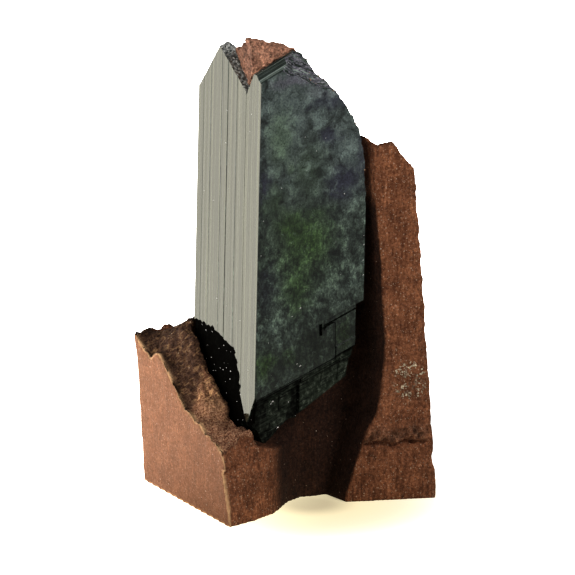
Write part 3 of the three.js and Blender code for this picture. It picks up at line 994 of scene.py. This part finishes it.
def finish_stone(mesh, places, material, **values):
    """Moves the points to their places and sets their values and the finish."""
    mesh.vertices.foreach_set("co", places.astype(np.float32).ravel())
    for name, value in values.items():
        attribute = mesh.attributes.new(name, "FLOAT", "POINT")
        attribute.data.foreach_set("value", np.asarray(value, np.float32))
    mesh.update()
    for polygon in mesh.polygons:
        polygon.use_smooth = True
    mesh.materials.append(material)


class VIVIANITE_OT_matrix(bpy.types.Operator):
    """Build the broken block of siltstone"""

    bl_idname = "vivianite.matrix"
    bl_label = "Stone"

    def execute(self, context):
        settings = context.scene.vivianite_stone
        stone = remeshed_copy("matrix", "siltstone_block", settings.voxel)
        places, normals, local = arrays(stone.data)
        x, y, z = local.T
        nx, ny, nz = normals.T
        # How much each point belongs to each side of the block.
        plane = LEFT_TURN * y - LEFT_LEAN * z
        left = smooth_step(plane + 0.5 - x, 0, 0.3) * smooth_step(-nx, 0.35, 0.6)
        upward = smooth_step(nz, 0.07, 0.2) * smooth_step(z, 8, 11) * (1 - left)
        back = smooth_step(ny, 0.3, 0.7) * smooth_step(y, 18, 24) * smooth_step(x, 4, 8)
        under = smooth_step(-nz, 0.6, 0.9) * smooth_step(1 - z, 0, 0.8)
        wall = (1 - left) * (1 - upward) * (1 - back) * (1 - under)
        wall *= 0.15 + 0.85 * smooth_step(x - plane, 0.2, 2.6)
        # The relief of each side.
        coarse, middle, fine = lumps(local, 4.2, 1), lumps(local, 1.5, 2), lumps(local, 0.75, 4)
        chips = chipped(local, 1.9, 3)
        slope = upward * settings.slope_relief / MM * smooth_step(z, 8.5, 14)
        move = slope * (0.5 * coarse + 0.5 * middle + 0.4 * chips + 0.3 * fine - 0.2)
        side = wall * settings.wall_relief / MM
        move += side * (0.35 * coarse + 0.4 * middle + 0.3 * fine)
        move += back * 0.55 * (0.8 * coarse + 0.35 * middle + 0.3 * chips)
        move += left * settings.face_relief / MM * (0.5 * coarse + 0.6 * middle)
        # The long crack, and the lip above it.
        front = smooth_step(-ny, 0.4, 0.75) * smooth_step(x, 21, 23) * smooth_step(6 - y, 0, 3)
        front *= smooth_step(34.6 - x, 0, 2)
        crack_x, crack_z = np.array(WALL_CRACK).T
        above = z - np.interp(x, crack_x, crack_z) - 0.25 * middle
        move -= front * (0.8 + 0.5 * fine) * np.exp(-((above / CRACK_WIDE) ** 2))
        lip = front * (smooth_step(above, 0.1, 0.5) * smooth_step(3.4 - above, 0, 2.2))
        move += lip * (0.3 + 0.5 * chips + 0.7 * fine)
        move -= NOTCH_DEEP * bulge(local, *NOTCH)
        places += normals * (move * (1 - under) * MM)[:, None]
        places += np.array(CORNER_RISE) * (bulge(local, *CORNER) * MM)[:, None]
        # The front upright edge leans back above its foot.
        lean = 0.75 * smooth_step(z, 8.2, 8.9) + 1.2 * smooth_step(z, 8.9, 13)
        lean *= smooth_step(4.5 - y, 0, 4) * smooth_step(7 - x, 0, 4)
        places += np.array((LEFT_TURN, 1, 0)) * (lean * MM)[:, None]
        places[:, 2] = np.maximum(places[:, 2], 0)

        # What the finish shows where: a painted highlight along the rim and on a lump, fresh
        # breaks, and painted shade in the recess, the hollow, the upper slope and the pits of the
        # lip.
        # Painted highlight along the ridge of the smooth left face.
        rim = smooth_step(plane + 0.7 - x, 0, 0.2) * smooth_step(-nx, 0.3, 0.5)
        rim *= 1 - smooth_step(-nx, 0.86, 0.97)
        on_screen = np.stack((ACROSS[0] * x + ACROSS[1] * y, z), axis=1)
        on_slope = upward * smooth_step(SLOPE_END - x, 0, 0.5)
        wall_front = np.minimum(WALL_FRONT, WALL_FRONT - (x - WALL_BEND) * WALL_TURN)
        # Painted shade in the recess beside the crystals and in the hollow under them.
        inner = smooth_step(y - wall_front + 0.2 * middle, 0.15, 0.5) * smooth_step(x, 8, 13.5)
        inner *= smooth_step(RECESS_END[0] - x, 0, 0.5) * smooth_step(RECESS_END[1] - z, 0, 3)
        inner *= 1 - smooth_step(y, 17.5, 19) * smooth_step(nz, 0, 0.3)
        # Painted shade on the upper part of the broken slope.
        high = on_slope * smooth_step(y, 12, 13.5)
        # Painted shade in the pits of the lip above the crack.
        pit_shade = lip * smooth_step(0.1 - fine, 0, 0.3)
        finish_stone(
            stone.data, places,
            siltstone_material("siltstone", settings.light, settings.dark, settings.grain),
            smooth=left, edge=rim + 0.2 * upward * bulge(on_screen, *LUMP_HIGHLIGHT),
            broken=on_slope + 0.45 * lip,
            shade=np.clip(0.88 * inner + 0.72 * high + 0.5 * pit_shade, 0, 1))
        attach(stone, "root")
        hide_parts("matrix")
        return {"FINISHED"}


class VIVIANITE_OT_plug(bpy.types.Operator):
    """Build the lump of stone between the two tips"""

    bl_idname = "vivianite.plug"
    bl_label = "Stone plug"

    def execute(self, context):
        settings = context.scene.vivianite_stone
        plug = remeshed_copy("stone_plug", "stone_plug_shape", settings.plug_voxel)
        places, normals, local = arrays(plug.data)
        move = 0.2 * lumps(local, 1.1, 5) + 0.1 * chipped(local, 0.9, 6) - 0.05
        move += 0.07 * lumps(local, 0.35, 7)
        places += np.array(KNOB_RISE) * (bulge(local, *KNOB) * 0.9 * MM)[:, None]
        leftward = -normals[:, 0]
        places[:, 0] -= 0.5 * MM * smooth_step(leftward, 0.1, 0.6)
        places += normals * (move * MM)[:, None]
        none = np.zeros(len(places))
        # The plug's left-facing side is darkened by the shade values: painted shade.
        finish_stone(
            plug.data, places,
            siltstone_material(
                "siltstone_plug", settings.plug, scaled(settings.plug, 0.45), settings.grain),
            smooth=none, edge=none, broken=none, shade=0.6 * smooth_step(leftward, 0.3, 0.8))
        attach(plug, "root")
        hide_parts("stone_plug")
        return {"FINISHED"}


# ---- Grains ----------------------------------------------------------------------------------
def scatter_tree():
    """Scatters small faceted grains over a mesh."""
    tree = bpy.data.node_groups.new("Scatter grains", "GeometryNodeTree")
    for title, kind, way in (
        ("Geometry", "Geometry", "INPUT"), ("Density", "Float", "INPUT"),
        ("Size", "Float", "INPUT"), ("Flatness", "Float", "INPUT"), ("Seed", "Int", "INPUT"),
        ("Material", "Material", "INPUT"), ("Geometry", "Geometry", "OUTPUT"),
    ):
        tree.interface.new_socket(title, in_out=way, socket_type="NodeSocket" + kind)

    def add(kind, inputs=(), **settings):
        made = tree.nodes.new(kind)
        for key, value in settings.items():
            setattr(made, key, value)
        for key, value in dict(inputs).items():
            made.inputs[key].default_value = value
        return made

    given = add("NodeGroupInput")
    points = add("GeometryNodeDistributePointsOnFaces")
    grain = add("GeometryNodeMeshIcoSphere", {"Radius": 0.5, "Subdivisions": 1})
    flat = add("ShaderNodeCombineXYZ", {"X": 1, "Y": 0.8})
    shape = add("GeometryNodeTransform")
    place = add("GeometryNodeInstanceOnPoints")
    size = add("FunctionNodeRandomValue", {2: 0.5, 3: 1.6}, data_type="FLOAT")
    spread = add("ShaderNodeMath", operation="MULTIPLY")
    turn = add("FunctionNodeRandomValue", {0: (-0.5, -0.5, 0), 1: (0.5, 0.5, 6.28)},
               data_type="FLOAT_VECTOR")
    rotate = add("GeometryNodeRotateInstances")
    real = add("GeometryNodeRealizeInstances")
    paint = add("GeometryNodeSetMaterial")
    result = add("NodeGroupOutput")
    for source, output, target, socket in (
        (given, "Geometry", points, "Mesh"), (given, "Density", points, "Density"),
        (given, "Seed", points, "Seed"), (given, "Flatness", flat, "Z"),
        (grain, "Mesh", shape, "Geometry"), (flat, 0, shape, "Scale"),
        (shape, "Geometry", place, "Instance"), (points, "Points", place, "Points"),
        (points, "Rotation", place, "Rotation"), (given, "Size", spread, 0),
        (size, 1, spread, 1), (spread, 0, place, "Scale"), (given, "Seed", size, "Seed"),
        (given, "Seed", turn, "Seed"), (place, "Instances", rotate, "Instances"),
        (turn, 0, rotate, "Rotation"), (rotate, "Instances", real, "Geometry"),
        (real, "Geometry", paint, "Geometry"), (given, "Material", paint, "Material"),
        (paint, "Geometry", result, "Geometry"),
    ):
        tree.links.new(source.outputs[output], target.inputs[socket])
    return tree


def scatter(name, hosts, where, density, size, flatness, seed, material):
    """Grains over those faces of the host pieces that where picks by their centre and normal.
    The density is given per square centimetre."""
    tree = bpy.data.node_groups.get("Scatter grains") or scatter_tree()
    bm = bmesh.new()
    for host in hosts:
        bm.from_mesh(bpy.data.objects[host].data)
    bm.normal_update()
    bare = [f for f in bm.faces if not where(f.calc_center_median() / MM - STONE_SHIFT, f.normal)]
    bmesh.ops.delete(bm, geom=bare, context="FACES")
    obj = add_object(name, [], [])
    bm.to_mesh(obj.data)
    bm.free()
    modifier = obj.modifiers.new("Grains", "NODES")
    modifier.node_group = tree
    values = {
        "Density": density * 1e4, "Size": size, "Flatness": flatness, "Seed": seed,
        "Material": material,
    }
    for item in tree.interface.items_tree:
        if item.in_out == "INPUT" and item.name in values:
            modifier[item.identifier] = values[item.name]
    bake(obj)
    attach(obj, "root")


def on_stone(place, normal):
    return normal.z > -0.5 and place.z > 0.4


def on_crust(place, normal):
    reach = place - Vector(WALL_CRUST)
    inside = Vector((reach.x / 2.5, reach.y / 3, reach.z / 3.1)).length < 1
    return inside and normal.y < -0.4 and noise.fractal(place / 0.75, 0.9, 2, 3) > 0.06


def on_crystal(place, normal):
    return True


# Faces of the cut-back low striated sides, whose near-black finish is a painted dark reflection.
def on_dark_side(place, normal):
    place = CRYSTAL_PLACE.inverted() @ (place + STONE_SHIFT)
    return 0.1 < place.x < 0.6 and normal.x < -0.8 and place.z < PAINTED_DARK_TOP


def on_shoulder(place, normal):
    return place.x > 15 and place.z > 50 and normal.x > 0.35


def face_chips(material):
    """Small bright chips that stand on the front crystal."""
    points, faces = [], []
    for x, y, z, size in CHIPS:
        faces += [[len(points) + i for i in face] for face in CHIP_FACES]
        for corner in CHIP_CORNERS:
            points.append((CRYSTAL_PLACE @ (Vector((x, y, z)) + Vector(corner) * size)) * MM)
    chips = closed_object("face_chips", points, faces)
    chips.data.materials.append(material)
    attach(chips, "root")


class VIVIANITE_OT_grains(bpy.types.Operator):
    """Scatter mica flakes, dust and crumbs over the specimen"""

    bl_idname = "vivianite.grains"
    bl_label = "Grains"

    def execute(self, context):
        settings = context.scene.vivianite_grain
        seed = settings.seed
        mica = speck_material("mica", (0.4, 0.28, 0.18), (0.75, 0.62, 0.5), 0.25)
        dust = speck_material("dust", (0.6, 0.58, 0.55), (0.85, 0.83, 0.8), 0.7)
        crust = speck_material("crust", (0.22, 0.17, 0.11), (0.8, 0.7, 0.52), 0.9)
        crumbs = speck_material("crumbs", (0.22, 0.11, 0.055), (0.55, 0.4, 0.27), 0.9)
        crystals = ["front_crystal_shape", "rear_crystal_shape"]
        # Each kind of grain: where it lies, grains per square centimetre, mean size in metres,
        # flatness and finish.
        for i, (name, hosts, where, density, size, flatness, material) in enumerate((
            ("mica_flakes", ["siltstone_block", "stone_plug_shape"], on_stone,
             settings.sparkles, settings.flake, 0.25, mica),
            ("wall_crust", ["siltstone_block"], on_crust, 1100, 0.00024, 0.8, crust),
            ("dust_specks", crystals, on_crystal, settings.dust, 0.00013, 0.6, dust),
            ("shoulder_crumbs", crystals[:1], on_shoulder, 420, 0.00024, 0.7, crumbs),
            ("side_chips", crystals, on_dark_side, 26, 0.00017, 0.5, dust),
        )):
            scatter(name, hosts, where, density, size, flatness, seed + i, material)
        face_chips(dust)
        return {"FINISHED"}


# ---- Stage -----------------------------------------------------------------------------------
def direction(azimuth, elevation):
    """From the specimen towards a point at that azimuth and elevation."""
    level = math.cos(elevation)
    return Vector((math.sin(azimuth) * level, -math.cos(azimuth) * level, math.sin(elevation)))


def area_light(name, size, power, place):
    """A soft square light that looks at the middle of the specimen."""
    light = bpy.data.lights.new(name, "AREA")
    light.shape = "SQUARE"
    light.size = size
    light.energy = power
    obj = new_object(name, light)
    obj.location = place
    obj.rotation_mode = "QUATERNION"
    obj.rotation_quaternion = (Vector(place) - LIGHT_AIM).to_track_quat("Z", "Y")


class VIVIANITE_OT_stage(bpy.types.Operator):
    """Set up the camera, the pale floor and the soft light"""

    bl_idname = "vivianite.stage"
    bl_label = "Stage"

    def execute(self, context):
        settings = context.scene.vivianite_stage
        scene = context.scene
        back = direction(settings.azimuth, settings.elevation)
        data = bpy.data.cameras.new("camera")
        data.lens = settings.lens
        data.clip_end = 50
        camera = new_object("camera", data)
        aim = (STONE_SHIFT + Vector(CAMERA_AIM)) * MM
        camera.location = aim + back * settings.width * settings.lens / data.sensor_width
        camera.rotation_mode = "QUATERNION"
        camera.rotation_quaternion = (-back).to_track_quat("-Z", "Y")
        scene.camera = camera
        scene.view_settings.view_transform = "Standard"
        scene.view_settings.gamma = 0.8

        floor = add_object(
            "floor", [(-4, -4, 0), (4, -4, 0), (4, 4, 0), (-4, 4, 0)], [[0, 1, 2, 3]])
        floor.data.materials.append(self.floor_material(settings))
        area_light("key", KEY_WIDTH, settings.key, KEY_PLACE)
        area_light("fill", FILL_WIDTH, settings.fill, direction(*FILL_ANGLES) * FILL_AWAY)

        world = bpy.data.worlds.new("studio")
        world.use_nodes = True
        scene.world = world
        nodes, links = world.node_tree.nodes, world.node_tree.links
        facing = nodes.new("ShaderNodeTexCoord")
        dot = nodes.new("ShaderNodeVectorMath")
        dot.operation = "DOT_PRODUCT"
        dot.inputs[1].default_value = Vector((-0.6, 0.78, 0.15)).normalized()
        strength = nodes.new("ShaderNodeMapRange")
        strength.interpolation_type = "SMOOTHSTEP"
        for end, value in WORLD_GLOW.items():
            strength.inputs[end].default_value = value
        links.new(facing.outputs["Generated"], dot.inputs[0])
        links.new(dot.outputs["Value"], strength.inputs["Value"])
        links.new(strength.outputs["Result"], nodes["Background"].inputs["Strength"])
        nodes["Background"].inputs["Color"].default_value = (1, 0.995, 0.98, 1)
        return {"FINISHED"}

    @staticmethod
    def floor_material(settings):
        s = Shader("pale_floor")
        coordinates = s.node("ShaderNodeTexCoord").outputs["Object"]
        across = s.vector("DOT_PRODUCT", coordinates, (-0.6, 0.8, 0))["Value"]
        glow = s.times(
            s.span(across, -0.015, 0.05, settings.glow_near, settings.glow_far),
            s.span(across, -0.1, -0.05, 0.05, 1))
        seen = s.node("ShaderNodeLightPath").outputs["Is Camera Ray"]
        # Near the stone the camera-only glow drops and both colours turn warm: a painted contact
        # shadow.
        away = s.distance(coordinates, (-0.0005, -0.0095, 0))
        shown = s.plus(s.span(away, 0.002, 0.008, 0.1, 0.5), s.span(away, 0.012, 0.03, 0, 0.6))
        tint = s.span(away, 0.005, 0.03)
        return s.set(
            Base_Color=s.blend(tint, (0.62, 0.53, 0.36), settings.floor), Roughness=0.7,
            Emission_Color=s.blend(tint, (1, 0.9, 0.62), (1, 0.99, 0.96)),
            Emission_Strength=s.plus(glow, s.times(seen, shown)))


# ---- Add-on ----------------------------------------------------------------------------------
class VIVIANITE_PT_panel(bpy.types.Panel):
    """Builds the specimen piece by piece"""

    bl_idname = "VIVIANITE_PT_panel"
    bl_label = "Vivianite specimen"
    bl_space_type = "VIEW_3D"
    bl_region_type = "UI"
    bl_category = "Vivianite"

    def draw(self, context):
        layout = self.layout
        for operators, group in (
            ((VIVIANITE_OT_stage,), context.scene.vivianite_stage),
            ((VIVIANITE_OT_matrix, VIVIANITE_OT_plug), context.scene.vivianite_stone),
            ((VIVIANITE_OT_front_crystal, VIVIANITE_OT_rear_crystal),
             context.scene.vivianite_crystal),
            ((VIVIANITE_OT_grains,), context.scene.vivianite_grain),
        ):
            box = layout.box()
            for name in group.__annotations__:
                box.prop(group, name)
            for operator in operators:
                box.operator(operator.bl_idname)


SETTINGS = {
    "vivianite_stone": StoneSettings,
    "vivianite_crystal": CrystalSettings,
    "vivianite_grain": GrainSettings,
    "vivianite_stage": StageSettings,
}
OPERATORS = (
    VIVIANITE_OT_stage,
    VIVIANITE_OT_matrix,
    VIVIANITE_OT_plug,
    VIVIANITE_OT_front_crystal,
    VIVIANITE_OT_rear_crystal,
    VIVIANITE_OT_grains,
)


def register():
    for name, group in SETTINGS.items():
        bpy.utils.register_class(group)
        setattr(bpy.types.Scene, name, PointerProperty(type=group))
    for operator in OPERATORS:
        bpy.utils.register_class(operator)
    bpy.utils.register_class(VIVIANITE_PT_panel)


def unregister():
    bpy.utils.unregister_class(VIVIANITE_PT_panel)
    for operator in reversed(OPERATORS):
        bpy.utils.unregister_class(operator)
    for name, group in SETTINGS.items():
        delattr(bpy.types.Scene, name)
        bpy.utils.unregister_class(group)


def main():
    register()
    for operator in OPERATORS:
        package, name = operator.bl_idname.split(".")
        getattr(getattr(bpy.ops, package), name)()


if __name__ == "__main__":
    main()
